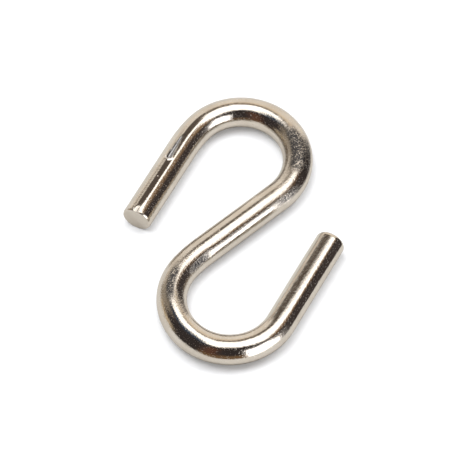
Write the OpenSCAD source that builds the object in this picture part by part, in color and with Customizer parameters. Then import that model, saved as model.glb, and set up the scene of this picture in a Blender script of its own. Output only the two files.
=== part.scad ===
// S hook bent from one length of round wire, in millimetres, lying flat.
//
// The wire runs from its sheared tip along the left leg, round the upper bend, down the
// middle leg, round the lower bend and up the right leg to its rounded tip. The origin is
// the middle of the hook's outline, on the surface that it lies on. +Y is the load line,
// from the lower bend to the upper one, and +Z is up.

/* [Wire] */
// Diameter of the wire
wire_d = 5; // [4:0.25:6]

/* [Bends] */
// Inner radius of each bend, in which a ring or a cord hangs
eye_r = 6.95; // [5.5:0.05:9]
// Angle through which each bend turns the wire
bend_turn = 201; // [192:1:206]
// Centreline radius of the slow curve with which each bend starts
ease_r = 22.5; // [16:0.5:32]
// Part of that angle that the slow curve turns
ease_turn = 11; // [5:1:16]

/* [Legs] */
// Straight length of the left leg, up to its sheared tip
left_leg = 16; // [12:0.1:20]
// Straight length of the middle leg
middle_leg = 16.4; // [13:0.1:22]
// Straight length of the right leg, up to its rounded tip
right_leg = 18; // [12:0.1:20]

/* [Tips] */
// Angle by which the sheared face leans back from square
shear_lean = 3; // [1:0.5:14]
// Direction of that lean round the wire, from its top to the inside of the hook
shear_side = 60; // [-40:2:90]
// Radius to which the edge of the sheared face is rolled over
shear_round = 0.6; // [0.3:0.05:0.8]
// Depth of the flat that the blade pressed on top of the sheared tip
flat_depth = 0.16; // [0.1:0.02:0.4]
// Slope at which that flat runs out along the wire
flat_slope = 13; // [8:1:20]
// Radius of the edge of the rounded tip
tip_round = 0.9; // [0.3:0.05:1.2]

/* [Tool mark] */
// Distance of the mark's blunt end from the sheared tip
mark_start = 11.6; // [8:0.1:14]
// Length over which the mark runs out towards the bend
mark_length = 4.9; // [4:0.1:8]
// Depth of the mark at its blunt end
mark_depth = 0.24; // [0.1:0.02:0.5]
// Nose radius of the tool that made the mark
mark_nose = 0.9; // [0.6:0.1:2]
// Angle of the mark round the wire, from its top to the outside of the hook
mark_round = 12; // [0:1:40]

/* [Hidden] */

wire_r = wire_d / 2;
bend_r = eye_r + wire_r;
main_turn = bend_turn - ease_turn;
// How far the rolled edge of the sheared face runs out past the wire's skin
shear_run_out = 0.12;
// Half angle of the flare behind that edge, wider than the lean
shear_flare = 25;
// Reach of a cutting shape past what it cuts
cut = 4;
// Bending stretches the wire: its radius loses this much in the slow curve, and as much
// again in the main one
stretch = 0.01;
ease_wire_r = wire_r - stretch;
main_wire_r = ease_wire_r - stretch;
// Length by which the thicker stretch of wire reaches into the thinner one
lap = 0.1;
section_fn = 40;
sweep_fn = 72;

function along(angle) = [cos(angle), sin(angle)];
function left_of(angle) = [-sin(angle), cos(angle)];
function turned(p, angle) = p.x * along(angle) + p.y * left_of(angle);

// The wire's route, laid out from the top of the middle leg with the leg along +X
upper_centre = [0, -bend_r];
upper_ease_centre = upper_centre + (bend_r - ease_r) * left_of(main_turn);
left_leg_end = upper_ease_centre + ease_r * left_of(bend_turn);
left_tip = left_leg_end - left_leg * along(bend_turn);
lower_ease_centre = [middle_leg, ease_r];
lower_centre = lower_ease_centre - (ease_r - bend_r) * left_of(ease_turn);
right_leg_start = lower_centre - bend_r * left_of(bend_turn);
right_tip = right_leg_start + right_leg * along(bend_turn);

// Turn that brings the line through the two bends' centres along Y, and the outline's
// middle in that position
load_line = lower_centre - upper_centre;
pose_turn = -90 - atan2(load_line.y, load_line.x);
leg_heading = bend_turn + pose_turn;
bend_reach = bend_r + wire_r;
tip_run = tip_round * abs(cos(leg_heading));
tip_reach = tip_round + (wire_r - tip_round) * abs(sin(leg_heading));
outline_left = min(
    turned(left_tip, pose_turn).x - wire_r * abs(sin(leg_heading)),
    turned(lower_centre, pose_turn).x - bend_reach
);
outline_right = max(
    turned(right_tip, pose_turn).x - tip_run + tip_reach,
    turned(upper_centre, pose_turn).x + bend_reach
);
outline_middle = [
    (outline_left + outline_right) / 2,
    (turned(upper_centre, pose_turn).y + turned(lower_centre, pose_turn).y) / 2
];

// Half outline of a round rod that ends at the height of its length with a rounded edge
module rod_half(radius, length, edge) {
    square([radius, length - edge]);
    square([radius - edge, length]);
    translate([radius - edge, length - edge])
        circle(edge, $fn = section_fn);
}

// Straight wire from a point, along a heading in the plane of the hook
module on_heading(point, angle) {
    translate([point.x, point.y, 0])
        rotate([90, 0, angle + 90])
            children();
}

module straight(point, angle, length) {
    on_heading(point, angle)
        translate([0, 0, -lap])
            cylinder(h = length + lap, r = wire_r, $fn = section_fn);
}

// Curved wire round a centre, from a first to a last angle
module curved(centre, radius, section_r, first, last) {
    translate([centre.x, centre.y, 0])
        rotate_extrude(angle = last - first, start = first, $fn = sweep_fn)
            translate([radius, 0])
                circle(section_r, $fn = section_fn);
}

// The slow curve, which laps into the main one at its first or its last angle
module slow_curve(centre, first, last) {
    lap_turn = lap / ease_r * 180 / PI;
    lap_first = first > 0 ? lap_turn : 0;
    lap_last = lap_turn - lap_first;
    curved(centre, ease_r, ease_wire_r, first - lap_first, last + lap_last);
}

// Outer form of the sheared tip: a leaning disc with a rolled edge that flares out behind
module shear_form() {
    form_r = wire_r + shear_run_out;
    form_length = left_leg + cut;
    rotate(a = shear_lean, v = [-cos(shear_side), sin(shear_side), 0])
        translate([0, 0, -form_length])
            rotate_extrude($fn = section_fn) {
                rod_half(form_r, form_length, shear_round);
                polygon([
                    [0, 0],
                    [form_r + form_length * tan(shear_flare), 0],
                    [form_r, form_length - shear_round],
                    [0, form_length - shear_round]
                ]);
            }
}

// The left leg, cut off by a shear: its face leans back, and the shear rolled its edge
module left_end() {
    intersection() {
        straight(left_leg_end, bend_turn + 180, left_leg + cut);
        on_heading(left_tip, bend_turn + 180)
            shear_form();
    }
}

// Room above the flat, which cuts the tip's upper edge and rises out of the wire
module above_flat() {
    on_heading(left_tip, bend_turn)
        translate([0, wire_r - flat_depth, 0])
            rotate([-flat_slope, 0, 0])
                translate([-cut, 0, -cut])
                    cube([2 * cut, cut, 2 * cut]);
}

module right_end() {
    on_heading(right_leg_start, bend_turn)
        translate([0, 0, -lap])
            rotate_extrude($fn = section_fn)
                rod_half(wire_r, right_leg + lap, tip_round);
}

// Long scrape of a blunt tool, deepest at its lower end and running out into the bend
module tool_mark() {
    fall = atan(mark_depth / mark_length);
    nose_reach = sqrt(mark_nose ^ 2 - (mark_nose - mark_depth) ^ 2);
    on_heading(left_tip, bend_turn)
        rotate([0, 0, -mark_round])
            translate([0, wire_r + mark_nose - mark_depth, mark_start + nose_reach])
                rotate([-fall, 0, 0]) {
                    sphere(mark_nose, $fn = section_fn);
                    cylinder(h = mark_length + cut, r = mark_nose, $fn = section_fn);
                }
}

module wire() {
    left_end();
    slow_curve(upper_ease_centre, main_turn + 90, bend_turn + 90);
    curved(upper_centre, bend_r, main_wire_r, 90, main_turn + 90);
    straight([0, 0], 0, middle_leg + lap);
    slow_curve(lower_ease_centre, -90, ease_turn - 90);
    curved(lower_centre, bend_r, main_wire_r, ease_turn - 90, bend_turn - 90);
    right_end();
}

module s_hook() {
    color([0.80, 0.77, 0.72])
        translate([-outline_middle.x, -outline_middle.y, wire_r])
            rotate([0, 0, pose_turn])
                difference() {
                    wire();
                    above_flat();
                    tool_mark();
                }
}

s_hook();
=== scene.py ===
import cmath
import math

import bpy
from mathutils import Matrix, Vector


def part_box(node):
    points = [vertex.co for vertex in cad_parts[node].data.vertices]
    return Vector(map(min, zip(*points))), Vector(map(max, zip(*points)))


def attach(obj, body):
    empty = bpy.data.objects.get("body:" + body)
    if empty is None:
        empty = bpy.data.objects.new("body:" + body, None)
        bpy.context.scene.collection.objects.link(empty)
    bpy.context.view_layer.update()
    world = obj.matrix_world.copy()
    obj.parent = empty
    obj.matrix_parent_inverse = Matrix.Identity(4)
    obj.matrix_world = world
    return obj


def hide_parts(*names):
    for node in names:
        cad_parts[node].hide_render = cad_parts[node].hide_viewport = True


print("loading the frame")
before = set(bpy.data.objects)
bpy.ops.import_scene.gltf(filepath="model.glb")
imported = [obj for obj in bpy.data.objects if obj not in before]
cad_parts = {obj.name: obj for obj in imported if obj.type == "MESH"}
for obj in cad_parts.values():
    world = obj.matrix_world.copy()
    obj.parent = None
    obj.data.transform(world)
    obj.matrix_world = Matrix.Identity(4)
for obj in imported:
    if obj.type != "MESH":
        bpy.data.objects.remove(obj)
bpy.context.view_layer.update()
low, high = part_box("s_hook")
mm = 0.001
white = (1, 1, 1, 1)


# Adds nodes to one node tree
class Tree:
    def __init__(self, nodeTree):
        self.nodeTree = nodeTree

    # a node of any type: its settings, then the values or links of its sockets
    def node(self, kind, settings=None, values=None):
        made = self.nodeTree.nodes.new(kind)
        for name, setting in (settings or {}).items():
            setattr(made, name, setting)
        for name, value in (values or {}).items():
            if isinstance(value, Value):
                self.nodeTree.links.new(value.socket, made.inputs[name])
            else:
                made.inputs[name].default_value = value
        return made

    def value(self, kind, settings=None, values=None, output=0):
        return Value(self, self.node(kind, settings, values).outputs[output])

    def math(self, operation, *operands):
        return self.value("ShaderNodeMath", {"operation": operation}, dict(enumerate(operands)))

    def vector(self, x, y, z):
        return self.value("ShaderNodeCombineXYZ", None, {0: x, 1: y, 2: z})

    def parts(self, vector):
        outputs = self.node("ShaderNodeSeparateXYZ", None, {0: vector}).outputs
        return [Value(self, output) for output in outputs]

    # sockets 6 and 7 are the two colours of a Mix node, and output 2 is the mixed one
    def mix(self, factor, a, b):
        settings = {"data_type": "RGBA", "clamp_factor": True}
        return self.value("ShaderNodeMix", settings, {0: factor, 6: a, 7: b}, 2)

    def attribute(self, name, output="Fac"):
        return self.value("ShaderNodeAttribute", {"attribute_name": name}, None, output)

    # 1 for a ray of this kind, which is Camera, Glossy or Transmission
    def ray(self, kind):
        return self.value("ShaderNodeLightPath", None, None, f"Is {kind} Ray")


# A socket that can be reckoned with like a number
class Value:
    def __init__(self, tree, socket):
        self.tree = tree
        self.socket = socket

    def __add__(self, other):
        return self.tree.math("ADD", self, other)

    __radd__ = __add__

    def __sub__(self, other):
        return self.tree.math("SUBTRACT", self, other)

    def __rsub__(self, other):
        return self.tree.math("SUBTRACT", other, self)

    def __mul__(self, other):
        return self.tree.math("MULTIPLY", self, other)

    __rmul__ = __mul__

    def __truediv__(self, other):
        return self.tree.math("DIVIDE", self, other)

    def __rtruediv__(self, other):
        return self.tree.math("DIVIDE", other, self)

    def __pow__(self, other):
        return self.tree.math("POWER", self, other)

    def __abs__(self):
        return self.tree.math("ABSOLUTE", self)

    def __neg__(self):
        return 0 - self

    def __gt__(self, other):
        return self.tree.math("GREATER_THAN", self, other)

    def __lt__(self, other):
        return self.tree.math("LESS_THAN", self, other)

    def sin(self):
        return self.tree.math("SINE", self)

    def cos(self):
        return self.tree.math("COSINE", self)

    def tan(self):
        return self.tree.math("TANGENT", self)

    def root(self):
        return self.tree.math("SQRT", self)

    def exp(self):
        return self.tree.math("EXPONENT", self)

    def least(self, other):
        return self.tree.math("MINIMUM", self, other)

    def most(self, other):
        return self.tree.math("MAXIMUM", self, other)

    def between(self, first, last):
        return self.most(first).least(last)

    # 0 below first, 1 above last, and an even climb between them
    def ramp(self, first, last):
        return ((self - first) / (last - first)).between(0, 1)

    # the same with a gentle start and end
    def smooth(self, first, last):
        t = self.ramp(first, last)
        return t * t * (3 - 2 * t)

    # 1 from first to last and 0 outside, with soft sides
    def slab(self, first, last, soft):
        return self.smooth(first - soft, first + soft) * (1 - self.smooth(last - soft, last + soft))

    # 1 in the middle, fading out to both sides
    def hump(self, middle, half):
        away = (self - middle) / half
        return (-(away * away)).exp()

    # the same with a flatter top and steeper sides
    def flatHump(self, middle, half):
        away = ((self - middle) / half) ** 2
        return (-(away * away)).exp()


def blankMaterial(name):
    material = bpy.data.materials.new(name)
    material.use_nodes = True
    material.node_tree.nodes.clear()
    return material, Tree(material.node_tree)


def opaque(colour):
    return (*colour, 1)


# The hook, in mm and degrees, as it would be drawn in a workshop
hook = {
    "sizes": {
        "Wire Diameter": (high.z - low.z) / mm,
        "Eye Radius": 6.95,      # inside of each bend
        "Bend Turn": 201,
        "Ease Radius": 22.5,     # slow curve with which each bend starts
        "Ease Turn": 11,
        "Left Leg": 16.0,
        "Middle Leg": 16.4,
        "Right Leg": 18.0,
        "Shear Lean": 3,         # the left tip's face leans back by this much
        "Shear Side": 60,        # and that way round the wire, from the top inwards
        "Shear Edge": 0.12,      # radius of that face's edge
        "Shear Roll": 0.9,       # the skin behind it is drawn over by the shear: radius
        "Shear Roll Turn": 26,   # and the angle that this roll reaches at the edge
        "Bevel Depth": 0.17,     # flat that the blade pressed on top of that edge
        "Bevel Slope": 8,
        "Bevel Round": -3,
        "Tip Round": 0.9,        # edge of the right tip
        "Tip Roll Turn": 5,
        "Mark Start": 12.1,      # scrape on the left leg, from its tip
        "Mark Length": 4.9,
        "Mark Depth": 0.26,
        "Mark Nose": 0.7,        # radius of the tool
        "Mark Round": -10,       # round the wire, minus is outwards
        "Mark Lip": 0.04,        # metal pushed up round the scrape
        "Mark Mound": 0.05,      # and in front of its blunt end
        "Mound Radius": 0.6,
        "Mound Width": 0.15,
    },
    # which of the sizes are in degrees
    "angles": (
        "Bend Turn", "Ease Turn", "Shear Lean", "Shear Side", "Shear Roll Turn", "Tip Roll Turn",
        "Bevel Slope", "Bevel Round", "Mark Round",
    ),
    # faces round the wire, and rows of them along it: the tips and the scrape have more
    "sides": 128,
    "rows": {"face": 8, "edge": 9, "roll": 12, "plain": 40, "mark": 130, "long": 440},
    "mark zone": (10.2, 19.2),   # from the left tip, where the rows lie close
    "weld": 0.0005,              # points nearer than this become one
}


# Walks along the wire from its left tip, to find where the walk has to start and which way
# it has to head for the hook to lie as the frame has it
def layOut():
    sizes = hook["sizes"]
    wire = sizes["Wire Diameter"] / 2
    bend = sizes["Eye Radius"] + wire
    ease = sizes["Ease Radius"]
    easeTurn = math.radians(sizes["Ease Turn"])
    mainTurn = math.radians(sizes["Bend Turn"] - sizes["Ease Turn"])
    turns = [
        (0, sizes["Left Leg"]), (-easeTurn, ease), (-mainTurn, bend),
        (0, sizes["Middle Leg"]), (easeTurn, ease), (mainTurn, bend),
        (0, sizes["Right Leg"]),
    ]
    leftTip = 0j
    point = leftTip
    heading = 0
    centres = []
    for turn, size in turns:
        ahead = cmath.rect(1, heading)
        if turn == 0:
            point += size * ahead
        else:
            centre = point + math.copysign(size, turn) * 1j * ahead
            centres.append(centre)
            point = centre + (point - centre) * cmath.rect(1, turn)
        heading += turn
    rightTip = point
    # the line through the two main curves' centres is brought along Y
    upper, lower = centres[1], centres[3]
    turned = math.pi / 2 - cmath.phase(upper - lower)
    spin = cmath.rect(1, turned)
    # and the middle of the outline to the origin: both tips lie at the same slant
    slant = abs(math.sin(turned))
    lengthwise = abs(math.cos(turned))
    bendReach = bend + wire
    tipRound = sizes["Tip Round"]
    tipReach = tipRound + (wire - tipRound) * slant - tipRound * lengthwise
    left = min((leftTip * spin).real - wire * slant, (lower * spin).real - bendReach)
    right = max((rightTip * spin).real + tipReach, (upper * spin).real + bendReach)
    middle = complex((left + right) / 2, ((upper + lower) * spin).imag / 2)
    return leftTip * spin - middle, turned


# One end of the wire: out along the flat face, round its edge, then over the roll behind it.
# Gives how far out and how far back each row is, and how long the end is.
def wireEnd(wire, row, edge, roll, turn):
    rows = hook["rows"]
    quarter = math.pi / 2
    corner = wire - roll * (1 - turn.cos()) - edge * turn.cos()
    overFace = (row / rows["face"]).least(1)
    roundEdge = ((row - rows["face"]) / rows["edge"]).between(0, 1)
    overRoll = ((row - rows["face"] - rows["edge"]) / rows["roll"]).between(0, 1)
    tilt = quarter - roundEdge * (quarter - turn)
    late = turn * (1 - overRoll)
    out = corner * overFace + edge * tilt.cos() + roll * (late.cos() - turn.cos())
    back = edge * (1 - tilt.sin()) + roll * (turn.sin() - late.sin())
    length = edge * (1 - turn.sin()) + roll * turn.sin()
    return out, back, length


# The straight rod before it is marked and bent: how far out and how far along each row is
def straightRod(size, row, rowCount):
    rows = hook["rows"]
    wire = size["Wire Diameter"] / 2
    bend = size["Eye Radius"] + wire
    mainTurn = size["Bend Turn"] - size["Ease Turn"]
    bent = size["Ease Radius"] * size["Ease Turn"] + bend * mainTurn
    total = size["Left Leg"] + size["Middle Leg"] + size["Right Leg"] + 2 * bent
    leftOut, leftBack, leftLength = wireEnd(
        wire, row, size["Shear Edge"], size["Shear Roll"], size["Shear Roll Turn"])
    rightOut, rightBack, rightLength = wireEnd(
        wire, rowCount - row, size["Tip Round"], size["Tip Round"], size["Tip Roll Turn"])
    along = leftBack + rightLength - rightBack
    begin = rows["face"] + rows["edge"] + rows["roll"]
    zoneStart, zoneEnd = hook["mark zone"]
    stretches = [
        (rows["plain"], zoneStart - leftLength),
        (rows["mark"], zoneEnd - zoneStart),
        (rows["long"], total - rightLength - zoneEnd),
    ]
    for count, length in stretches:
        along = along + ((row - begin) / count).between(0, 1) * length
        begin += count
    return leftOut.least(rightOut), along


# The sheared face leans back, and the lean fades out behind it
def leanBack(size, out, along, around):
    fade = (0.5, 3.5)            # from here to there, in mm from the tip
    lean = size["Shear Lean"].tan() * out * (around - size["Shear Side"]).cos()
    return along + lean * (1 - along.smooth(*fade))


# The pressed flat: a plane that cuts the top of the edge
def pressFlat(size, out, along, around):
    leastFacing = 0.2            # where the wire faces the plane less than this, it stays whole
    wire = size["Wire Diameter"] / 2
    slope = size["Bevel Slope"]
    facing = (around - size["Bevel Round"]).cos()
    plane = (wire - size["Bevel Depth"]) * slope.cos() + along * slope.sin()
    missed = (facing < leastFacing) * wire
    return out.least(plane / (facing.most(leastFacing) * slope.cos()) + missed)


# The scrape: a round-nosed tool that rises out of the wire as it goes. Gives the new surface
# and the places that are scraped bare, its outer wall painted dark as shade, and pushed up in front.
def scrape(size, out, along, around):
    lipFade = 0.1                # gap between wire and tool at which the lip is down to a third
    bareDepth = 0.04             # from this depth of cut on the metal is bare
    moundEnd = (-0.2, 0.5)       # the mound fades out here, counted from the mark's start
    leastDepth = 0.02            # keeps the scrape's width above nothing where it runs out
    shadedFlank = (0.25, 0.6)     # shares of its half width, outwards, where the painted shade begins and is full
    wire = size["Wire Diameter"] / 2
    back = along - size["Mark Start"]
    nose = size["Mark Nose"]
    reach = (nose * nose - back.least(0) ** 2).most(0)
    depth = size["Mark Depth"] * (1 - back.most(0) / size["Mark Length"])
    tool = wire + nose - depth
    off = around - size["Mark Round"]
    sameSide = off.cos() > 0
    spare = reach - (tool * off.sin()) ** 2
    touched = (spare > 0) * sameSide
    bite = out - (tool * off.cos() - spare.most(0).root())
    lip = size["Mark Lip"] * (-(abs(bite) / lipFade)).exp() * touched
    out = (out - touched * bite.most(0)) + lip
    fromNose = (back.least(0) ** 2 + (wire * off.sin()) ** 2).root()
    ring = fromNose.hump(size["Mound Radius"], size["Mound Width"])
    raised = ring * (1 - back.smooth(*moundEnd)) * sameSide
    out = out + size["Mark Mound"] * raised
    scraped = touched * bite.ramp(0, bareDepth)
    halfWidth = (2 * nose * depth.most(leastDepth)).root()
    # painted shade: the scrape's outer wall is darkened in colour
    corner = scraped * (-off.sin() * tool / halfWidth).smooth(*shadedFlank)
    return out, scraped, corner, raised


# The wire's own run: straight legs and arcs, one after the other. Gives where the wire's
# middle is and which way it heads.
def bendAlong(size, along):
    wire = size["Wire Diameter"] / 2
    bend = size["Eye Radius"] + wire
    ease = size["Ease Radius"]
    easeLength = ease * size["Ease Turn"]
    mainLength = bend * (size["Bend Turn"] - size["Ease Turn"])
    route = [
        (size["Left Leg"], None), (easeLength, -1 / ease), (mainLength, -1 / bend),
        (size["Middle Leg"], None), (easeLength, 1 / ease), (mainLength, 1 / bend),
        (size["Right Leg"], None),
    ]
    x, y, heading = size["Start X"], size["Start Y"], size["Start Heading"]
    endHeading = heading
    passed = 0
    for number, (length, curve) in enumerate(route):
        gone = along - passed
        if number > 0:
            gone = gone.most(0)
        if number < len(route) - 1:
            gone = gone.least(length)
        if curve is None:
            x = x + gone * endHeading.cos()
            y = y + gone * endHeading.sin()
        else:
            now = endHeading + gone * curve
            x = x + (now.sin() - endHeading.sin()) / curve
            y = y + (endHeading.cos() - now.cos()) / curve
            heading = heading + gone * curve
            endHeading = endHeading + length * curve
        passed = length + passed
    return x, y, heading


def wireTree():
    nodeTree = bpy.data.node_groups.new("bentWire", "GeometryNodeTree")
    tree = Tree(nodeTree)
    nodeTree.interface.new_socket("Geometry", in_out="OUTPUT", socket_type="NodeSocketGeometry")
    nodeTree.interface.new_socket("Material", in_out="INPUT", socket_type="NodeSocketMaterial")
    names = [*hook["sizes"], "Start X", "Start Y", "Start Heading"]
    for name in names:
        nodeTree.interface.new_socket(name, in_out="INPUT", socket_type="NodeSocketFloat")
    inputs = tree.node("NodeGroupInput").outputs
    size = {name: Value(tree, inputs[name]) for name in names}

    # one flat sheet of faces: its rows go along the wire and its columns round it
    rows = hook["rows"]
    tipRows = rows["face"] + rows["edge"] + rows["roll"]
    rowCount = 2 * tipRows + rows["plain"] + rows["mark"] + rows["long"]
    shape = tree.value("GeometryNodeMeshGrid", None, {
        "Size X": 1, "Size Y": 1, "Vertices X": rowCount + 1, "Vertices Y": hook["sides"] + 1,
    })
    across, down = tree.parts(tree.value("GeometryNodeInputPosition"))[:2]
    row = (across + 0.5) * rowCount
    around = (0.5 - down) * (2 * math.pi)

    out, along = straightRod(size, row, rowCount)
    along = leanBack(size, out, along, around)
    out = pressFlat(size, out, along, around)
    out, scraped, corner, raised = scrape(size, out, along, around)
    x, y, heading = bendAlong(size, along)
    aside = out * around.sin()
    place = tree.vector(
        (x + aside * heading.sin()) * mm,
        (y - aside * heading.cos()) * mm,
        (size["Wire Diameter"] / 2 + out * around.cos()) * mm,
    )

    # what the finish follows: first of all the same point on the wire before it was bent
    marks = {
        "straight": tree.vector(along, aside, out * around.cos()),
        "sheared": 1 - ((row - rows["face"]) / rows["edge"]).between(0, 1),
        "scraped": scraped,
        # corner carries the painted shade on the scrape's outer wall
        "corner": corner,
        "raised": raised,
    }
    for name, mark in marks.items():
        kind = "FLOAT_VECTOR" if name == "straight" else "FLOAT"
        shape = tree.value("GeometryNodeStoreNamedAttribute", {"data_type": kind, "domain": "POINT"},
                           {"Geometry": shape, "Name": name, "Value": mark})
    steps = [
        ("GeometryNodeSetPosition", {"Position": place}),
        ("GeometryNodeMergeByDistance", {"Distance": hook["weld"] * mm}),
        ("GeometryNodeSetShadeSmooth", {"Shade Smooth": True}),
        ("GeometryNodeRealizeInstances", {}),
        ("GeometryNodeSetMaterial", {"Material": Value(tree, inputs["Material"])}),
    ]
    for kind, values in steps:
        shape = tree.value(kind, None, {"Geometry": shape, **values})
    tree.node("NodeGroupOutput", None, {"Geometry": shape})
    return nodeTree


def bendWire(material):
    start, heading = layOut()
    wanted = {"Start X": start.real, "Start Y": start.imag, "Start Heading": heading}
    for name, size in hook["sizes"].items():
        wanted[name] = math.radians(size) if name in hook["angles"] else size
    wanted["Material"] = material
    plan = bpy.data.objects.new("bent_wire_plan", bpy.data.meshes.new("bent_wire_plan"))
    bpy.context.scene.collection.objects.link(plan)
    nodeTree = wireTree()
    modifier = plan.modifiers.new("bentWire", "NODES")
    modifier.node_group = nodeTree
    for item in nodeTree.interface.items_tree:
        if item.in_out == "INPUT":
            modifier[item.identifier] = wanted[item.name]
    bpy.context.view_layer.update()
    depsgraph = bpy.context.evaluated_depsgraph_get()
    shape = bpy.data.meshes.new_from_object(
        plan.evaluated_get(depsgraph), preserve_all_data_layers=True, depsgraph=depsgraph)
    bpy.data.objects.remove(plan)
    shape.name = "bent_wire"
    wire = bpy.data.objects.new("bent_wire", shape)
    bpy.context.scene.collection.objects.link(wire)
    print("bent the wire:", len(shape.polygons), "faces")
    return wire


# The nickel plate. Heights are in mm, and so are places along the wire, from its left tip.
# Places round the wire, from its top, and half widths there are in degrees.
plate = {
    "colour": (0.67, 0.62, 0.55),
    "dull colour": (0.60, 0.545, 0.47),
    "edge tint": (0.90, 0.885, 0.865),
    "roughness": (0.05, 0.09),
    "face roughness": 0.32,
    "scraped share": 0.7,        # of the face's roughness, which the scrape gets
    "peel": 0.010,               # height of the plating's unevenness
    "peel in bends": 0.022,      # where the bending tool stretched it
    "bends": [(36, 54), (70, 82)],
    "draw lines": 0.004,
    "line stretch": 0.06,        # the smaller it is, the longer the lines run
    "grain": 0.006,              # finer than the peel
    "scuffed grain": 0.10,
    "scuffed colour": (0.075, 0.073, 0.075),
    "scuffed roughness": 0.10,
    "scraped colour": (0.46, 0.46, 0.47),
    # painted shade on the scrape's outer wall
    "painted_wall_shade": (0.03, 0.025, 0.02),
    "lip": (0.35, 0.7),          # shares of the mound's height from which it gets its roughness and a painted highlight
    # painted highlight on the metal pushed up in front of the scrape
    "lip highlight": (0.95, 0.93, 0.90),
    "lip roughness": 0.3,
    "flecks": 0.55,              # roughness that they add on the wire's flanks
    "flanks": (2, 12, 24),       # middle of its top, how far off a flank begins and is full
    "pit depth": 0.02,
    "pit radius": 0.11,
    "pit cells": 0.9,            # to the mm
    "pit chance": 0.7,           # a cell has a pit where its own random value is above this
    "end faces": (1.7, 2.4),     # the ridges fade in between these distances from the wire's middle
    # noise patterns: how many to the mm, how many finer ones on top, and how strong those are
    "patterns": {
        "peel": (3.2, 3.0, 0.6),
        "draw lines": (5.0, 2.0, 0.5),
        "scuffs": (2.6, 3.0, 0.7),
        "grain": (5.0, 2.0, 0.7),
        "speck clouds": (0.8, 2.0, 0.5),
        "dullness": (0.35, 2.0, 0.5),
        "polish": (0.9, 3.0, 0.5),
        "flecks": (4.0, 2.0, 0.7),
    },
    # how strongly a pattern shows, and how much is added to it
    "dullness": (2.5, 0.4),
    "ragged scuffs": (3, 1.6),
    "specks": (16, 5, 1.8),      # strength of the grain, of the clouds, and what is added
    "sparse flecks": (8, -0.7),
    "least speck": 0.08,         # how far a rubbed patch darkens between its specks
    # long soft ridges and hollows, which bend what the skin mirrors: where they begin and end,
    # place round the wire, half width, height
    "ridges": [
        (1.5, 21, 11, 7, 0.036),
        (1.5, 21, -3, 8, -0.028),
        (38.5, 50.5, -43, 16, -0.04),
        (67.5, 81, -42, 16, -0.05),
        (102, 125, -34, 14, 0.16),
        (104, 125, 30, 22, 0.10),
        (104, 125, 60, 14, 0.06),
    ],
    # a smoother strip: from, to, middle round the wire, half width, and how much of the
    # unevenness it takes away
    "polished": (2, 20, -4, 9, 0.85),
    # where the skin mirrors as if turned a little round the wire: from, to, and degrees
    "leans": [(80, 89, 8)],
    # patches that the bending tool rubbed dull: from, to, middle round the wire, half width,
    # and how much
    "scuffs": [
        (39, 46.5, 2, 24, 1),
        (41, 47, -35, 22, 0.5),
        (49, 53.5, -48, 14, 0.5),
        (68.5, 73, -48, 14, 0.6),
        (74, 79.5, 6, 15, 0.8),
    ],
    # the middle of the hook mirrors as if it stood a little proud of its bends: where it
    # climbs, where it falls again, and by how much
    "sway": ((35.5, 46.5), (79, 88), 0.45),
    # half the length over which each of them fades in and out
    "soft ends": {"bends": 3, "ridges": 2, "polished": 2, "leans": 3, "scuffs": 1.5},
}


# Swings by half to either side, so twice a height gives a relief of that height
def pattern(tree, name, place):
    scale, detail, rough = plate["patterns"][name]
    values = {"Vector": place, "Scale": scale, "Detail": detail, "Roughness": rough}
    return tree.value("ShaderNodeTexNoise", None, values) - 0.5


# How far the bending tool rubbed each place, from 0 to 1
def rubbedPatches(tree, straight, along, around):
    soft = plate["soft ends"]["scuffs"]
    scuff = 0
    for first, last, middle, half, strength in plate["scuffs"]:
        scuff = scuff + along.slab(first, last, soft) * around.flatHump(middle, half) * strength
    ragged, full = plate["ragged scuffs"]
    return (scuff * (pattern(tree, "scuffs", straight) * ragged + full)).between(0, 1)


# Pits in some of the cells, each deepest in its middle
def rarePits(tree, straight):
    cells = tree.node("ShaderNodeTexVoronoi", None, {"Vector": straight, "Scale": plate["pit cells"]})
    chance = tree.parts(Value(tree, cells.outputs["Color"]))[0]
    bowl = (1 - Value(tree, cells.outputs["Distance"]) / plate["pit radius"]).most(0)
    return bowl * (chance > plate["pit chance"]) * plate["pit depth"]


# Height of the skin over the wire's own surface
def skinRelief(tree, straight, around, scuff):
    soft = plate["soft ends"]
    along, aside, up = tree.parts(straight)
    bends = 0
    for first, last in plate["bends"]:
        bends = bends + along.slab(first, last, soft["bends"])
    peel = plate["peel"] + bends * (plate["peel in bends"] - plate["peel"])
    first, last, middle, half, smoothed = plate["polished"]
    strip = along.slab(first, last, soft["polished"]) * around.flatHump(middle, half)
    uneven = 1 - strip * smoothed
    lines = tree.vector(along * plate["line stretch"], aside, up)
    height = pattern(tree, "peel", straight) * peel * uneven * 2
    height = height + pattern(tree, "draw lines", lines) * (plate["draw lines"] * 2)
    skin = (aside * aside + up * up).root().smooth(*plate["end faces"])
    for first, last, middle, half, ridge in plate["ridges"]:
        crest = around.hump(middle, half) * along.slab(first, last, soft["ridges"])
        height = height + crest * skin * ridge
    for first, last, lean in plate["leans"]:
        turned = aside * along.slab(first, last, soft["leans"])
        height = height - turned * math.tan(math.radians(lean))
    climb, fall, proud = plate["sway"]
    height = height + (along.smooth(*climb) - along.smooth(*fall)) * proud
    grain = plate["grain"] * uneven + scuff * plate["scuffed grain"]
    height = height + pattern(tree, "grain", straight) * grain
    return height - rarePits(tree, straight)
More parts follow.
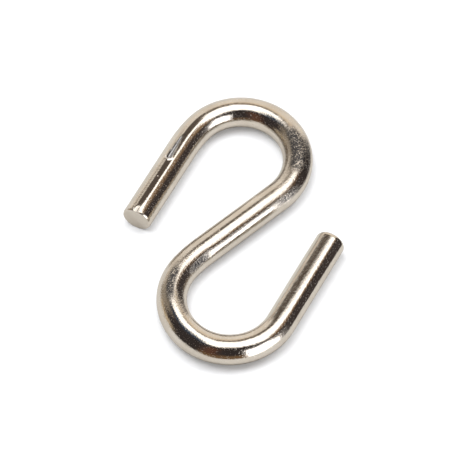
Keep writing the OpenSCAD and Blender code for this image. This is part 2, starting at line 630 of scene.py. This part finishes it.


# From the plate up to what lies on it, with painted shade on the scrape's outer wall and a painted
# highlight on its pushed-up metal
def plateColour(tree, straight, scuff, scraped, lip):
    strength, level = plate["dullness"]
    dull = (pattern(tree, "dullness", straight) * strength + level).between(0, 1)
    colour = tree.mix(dull, opaque(plate["colour"]), opaque(plate["dull colour"]))
    fine, clouds, level = plate["specks"]
    grain = pattern(tree, "grain", straight) * fine
    speck = (grain + pattern(tree, "speck clouds", straight) * clouds + level).between(0, 1)
    least = plate["least speck"]
    colour = tree.mix(scuff * (least + (1 - least) * speck), colour, opaque(plate["scuffed colour"]))
    colour = tree.mix(scraped, colour, opaque(plate["scraped colour"]))
    # painted shade darkens the scrape's outer wall
    colour = tree.mix(tree.attribute("corner"), colour, opaque(plate["painted_wall_shade"]))
    # painted highlight on the pushed-up metal
    return tree.mix(lip, colour, opaque(plate["lip highlight"]))


def plateRoughness(tree, straight, around, scuff, scraped, lip):
    smooth, worn = plate["roughness"]
    rough = smooth + (pattern(tree, "polish", straight) + 0.5).between(0, 1) * (worn - smooth)
    rough = rough + scuff * (plate["scuffed roughness"] - rough)
    strength, level = plate["sparse flecks"]
    fleck = (pattern(tree, "flecks", straight) * strength + level).between(0, 1)
    top, flankStart, flankFull = plate["flanks"]
    flank = abs(around - top).smooth(flankStart, flankFull)
    rough = rough + fleck * flank * plate["flecks"]
    bare = tree.attribute("sheared").most(scraped * plate["scraped share"])
    rough = rough + bare * (plate["face roughness"] - rough)
    return rough + lip * (plate["lip roughness"] - rough)


def nickelPlate():
    material, tree = blankMaterial("nickel_plate")
    straight = tree.attribute("straight", "Vector")
    along, aside, up = tree.parts(straight)
    around = tree.math("ARCTAN2", aside, up) * (180 / math.pi)
    scuff = rubbedPatches(tree, straight, along, around)
    scraped = tree.attribute("scraped")
    lip = tree.attribute("raised").smooth(*plate["lip"])
    relief = skinRelief(tree, straight, around, scuff)
    bump = tree.value("ShaderNodeBump", None, {"Strength": 1, "Distance": 1 * mm, "Height": relief})
    shader = tree.value("ShaderNodeBsdfPrincipled", None, {
        "Base Color": plateColour(tree, straight, scuff, scraped, lip),
        "Metallic": 1,
        "Roughness": plateRoughness(tree, straight, around, scuff, scraped, lip),
        "Specular Tint": opaque(plate["edge tint"]),
        "Normal": bump,
    })
    tree.node("ShaderNodeOutputMaterial", None, {"Surface": shader})
    print("mixed the nickel plate")
    return material


# What the metal mirrors. Each area has the azimuth of its middle and half its width, its lowest
# and highest elevation, the softness of its sides, that of its top and foot, all in degrees,
# and its light. A later one stands in front of an earlier one.
studio = {
    "matt light": (0.28, 0.28, 0.28),   # what everything that isn't glossy gets from all round
    "room": (0.05, 0.042, 0.042),
    "areas": {
        "left wall": (148, 29, -27, 52, 9, 6, (0.39, 0.34, 0.28)),
        "dark over left wall": (171, 50, 60, 78, 9, 6, (0.06, 0.09, 0.14)),
        "left board": (-178, 17, -29, 15, 9, 6, (0.72, 0.60, 0.44)),
        "brown floor": (-96, 34, -25, 12, 5, 7, (0.22, 0.14, 0.08)),
        "brick pillar": (-116, 10.5, 7, 61, 9, 6, (0.15, 0.075, 0.05)),
        "right wall": (14, 44, -16, 48, 11, 9, (0.07, 0.058, 0.056)),
        "grey curtain": (-22, 10.5, -25, 38, 8, 9, (0.52, 0.505, 0.51)),
        "right beam": (16, 33, 46, 65, 10, 7, (0.37, 0.245, 0.15)),
        "sweep": (88, 36, -37, 44, 4, 5, (1.04, 0.97, 0.89)),
        "left end of sweep": (128, 15, -37, 18, 5, 7, (1.04, 0.97, 0.89)),
        "warm glow": (80, 24, 34, 54, 9, 4, (1.05, 0.91, 0.74)),
        "gap over sweep": (118, 26, 44, 60, 9, 4, (0.13, 0.105, 0.09)),
        "side softbox": (-45.5, 18.5, -27, 43, 2, 5, (3.0, 3.0, 3.1)),
        "foot of side softbox": (-32, 12.5, -14, 26, 2, 5, (3.0, 3.0, 3.1)),
    },
    # the softbox overhead has its edges as tangents to the left, right, front and back
    "overhead edges": (-0.30, 0.58, -0.25, 0.55),
    "overhead softness": 0.05,
    "overhead light": (2.3, 2.25, 2.2),
}


def studioColour(tree, direction):
    x, y, z = tree.parts(direction)
    azimuth = tree.math("ARCTAN2", y, x) * (180 / math.pi)
    elevation = tree.math("ARCSINE", z) * (180 / math.pi)
    colour = opaque(studio["room"])
    for middle, half, lowest, highest, side, top, light in studio["areas"].values():
        away = abs(tree.math("WRAP", azimuth - middle, 180, -180))
        mask = (1 - away.smooth(half - side, half + side)) * elevation.slab(lowest, highest, top)
        colour = tree.mix(mask, colour, opaque(light))
    left, right, front, back = studio["overhead edges"]
    soft = studio["overhead softness"]
    horizon = 0.01               # below this rise a ray doesn't meet the softbox overhead
    rise = z.most(horizon)
    mask = (z > horizon) * (x / rise).slab(left, right, soft) * (y / rise).slab(front, back, soft)
    return tree.mix(mask, colour, opaque(studio["overhead light"]))


def buildStudio():
    world = bpy.data.worlds.new("studio")
    bpy.context.scene.world = world
    world.use_nodes = True
    world.node_tree.nodes.clear()
    tree = Tree(world.node_tree)
    direction = tree.value("ShaderNodeTexCoord", None, None, "Generated")
    mirrored = studioColour(tree, direction)
    colour = tree.mix(tree.ray("Glossy"), opaque(studio["matt light"]), mirrored)
    shown = tree.ray("Camera").most(tree.ray("Transmission"))
    colour = tree.mix(shown, colour, white)
    background = tree.value("ShaderNodeBackground", None, {"Color": colour, "Strength": 1})
    tree.node("ShaderNodeOutputWorld", None, {"Surface": background})
    print("built the studio:", len(studio["areas"]), "areas")


# The table, with its paper. The hook mirrors the sheet only as far as its edges, in mm.
paper = {
    "half width": 3,             # of the table, in m
    "colour": (0.82, 0.83, 0.85),
    "mirrored colour": (0.70, 0.69, 0.675),
    "glow": 0.16,                # lifts the paper to white for the camera and lights nothing
    "right edge": 26.5,
    "right slant": 0.3,          # by how much that edge moves to the left per mm to the back
    "front edge": -38,
    "soft edge": 2.5,
}


def layTable():
    half = paper["half width"]
    corners = [(-half, -half, 0), (half, -half, 0), (half, half, 0), (-half, half, 0)]
    shape = bpy.data.meshes.new("table")
    shape.from_pydata(corners, [], [(0, 1, 2, 3)])
    table = bpy.data.objects.new("table", shape)
    bpy.context.scene.collection.objects.link(table)
    material, tree = blankMaterial("table_paper")
    glossy = tree.ray("Glossy")
    shown = tree.ray("Camera").most(tree.ray("Transmission"))
    tone = tree.mix(glossy, opaque(paper["colour"]), opaque(paper["mirrored colour"]))
    matt = tree.value("ShaderNodeBsdfDiffuse", None, {"Color": tone})
    glow = tree.value("ShaderNodeEmission", None, {"Color": white, "Strength": shown * paper["glow"]})
    lit = tree.value("ShaderNodeAddShader", None, {0: matt, 1: glow})
    spot = tree.value("ShaderNodeTexCoord", None, None, "Object")
    x, y = (part / mm for part in tree.parts(spot)[:2])
    right, front, soft = paper["right edge"], paper["front edge"], paper["soft edge"]
    pastRight = (x + y * paper["right slant"]).smooth(right - soft, right + soft)
    past = pastRight.most(1 - y.smooth(front - soft, front + soft))
    clear = tree.value("ShaderNodeBsdfTransparent")
    sheet = tree.value("ShaderNodeMixShader", None, {0: glossy * past, 1: lit, 2: clear})
    tree.node("ShaderNodeOutputMaterial", None, {"Surface": sheet})
    material.cycles.emission_sampling = "NONE"
    shape.materials.append(material)
    print("laid the table")


# The lamps light the table and throw the shadows: a softbox overhead, and a weak one at the
# right behind. The metal doesn't mirror them, since the studio has its own softboxes.
lamps = {
    "overhead_softbox": {"place": (-0.15, 0.05, 0.6), "size": (0.48, 0.42), "power": 3.75},
    "side_fill": {"place": (0.30, 0.16, 0.45), "size": (0.31, 0.33), "power": 1.25},
}


def hangLamps():
    for name, lamp in lamps.items():
        light = bpy.data.lights.new(name, "AREA")
        light.shape = "RECTANGLE"
        light.size, light.size_y = lamp["size"]
        light.energy = lamp["power"]
        item = bpy.data.objects.new(name, light)
        item.location = lamp["place"]
        item.rotation_euler = Vector(lamp["place"]).to_track_quat("Z", "Y").to_euler()
        item.visible_glossy = False
        item.visible_camera = False
        bpy.context.scene.collection.objects.link(item)
    print("hung the lamps:", *lamps)


# Where the camera stands: angles in degrees, lens and sensor in mm, the rest in m
view = {
    "azimuth": 4.019,
    "elevation": 59,
    "distance": 0.6,
    "lens": 277.8,
    "sensor": 36,
    "nearest": 0.01,
    "aim": (0.35 * mm, 0.185 * mm, 0),
    "nudge": 0.083 * mm,         # to the left and up in its own frame
}


def placeCamera():
    data = bpy.data.cameras.new("camera")
    camera = bpy.data.objects.new("camera", data)
    bpy.context.scene.collection.objects.link(camera)
    data.lens = view["lens"]
    data.sensor_width = view["sensor"]
    data.clip_start = view["nearest"]
    aimed = Matrix.Translation(view["aim"])
    turned = Matrix.Rotation(math.radians(view["azimuth"]), 4, "Z")
    tilted = Matrix.Rotation(math.radians(90 - view["elevation"]), 4, "X")
    away = Matrix.Translation(Vector((-view["nudge"], view["nudge"], view["distance"])))
    camera.matrix_world = aimed @ turned @ tilted @ away
    bpy.context.scene.camera = camera
    print("placed the camera")


placeCamera()
buildStudio()
layTable()
hangLamps()
wire = bendWire(nickelPlate())
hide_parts("s_hook")
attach(wire, "root")
bpy.context.scene.view_settings.view_transform = "Standard"
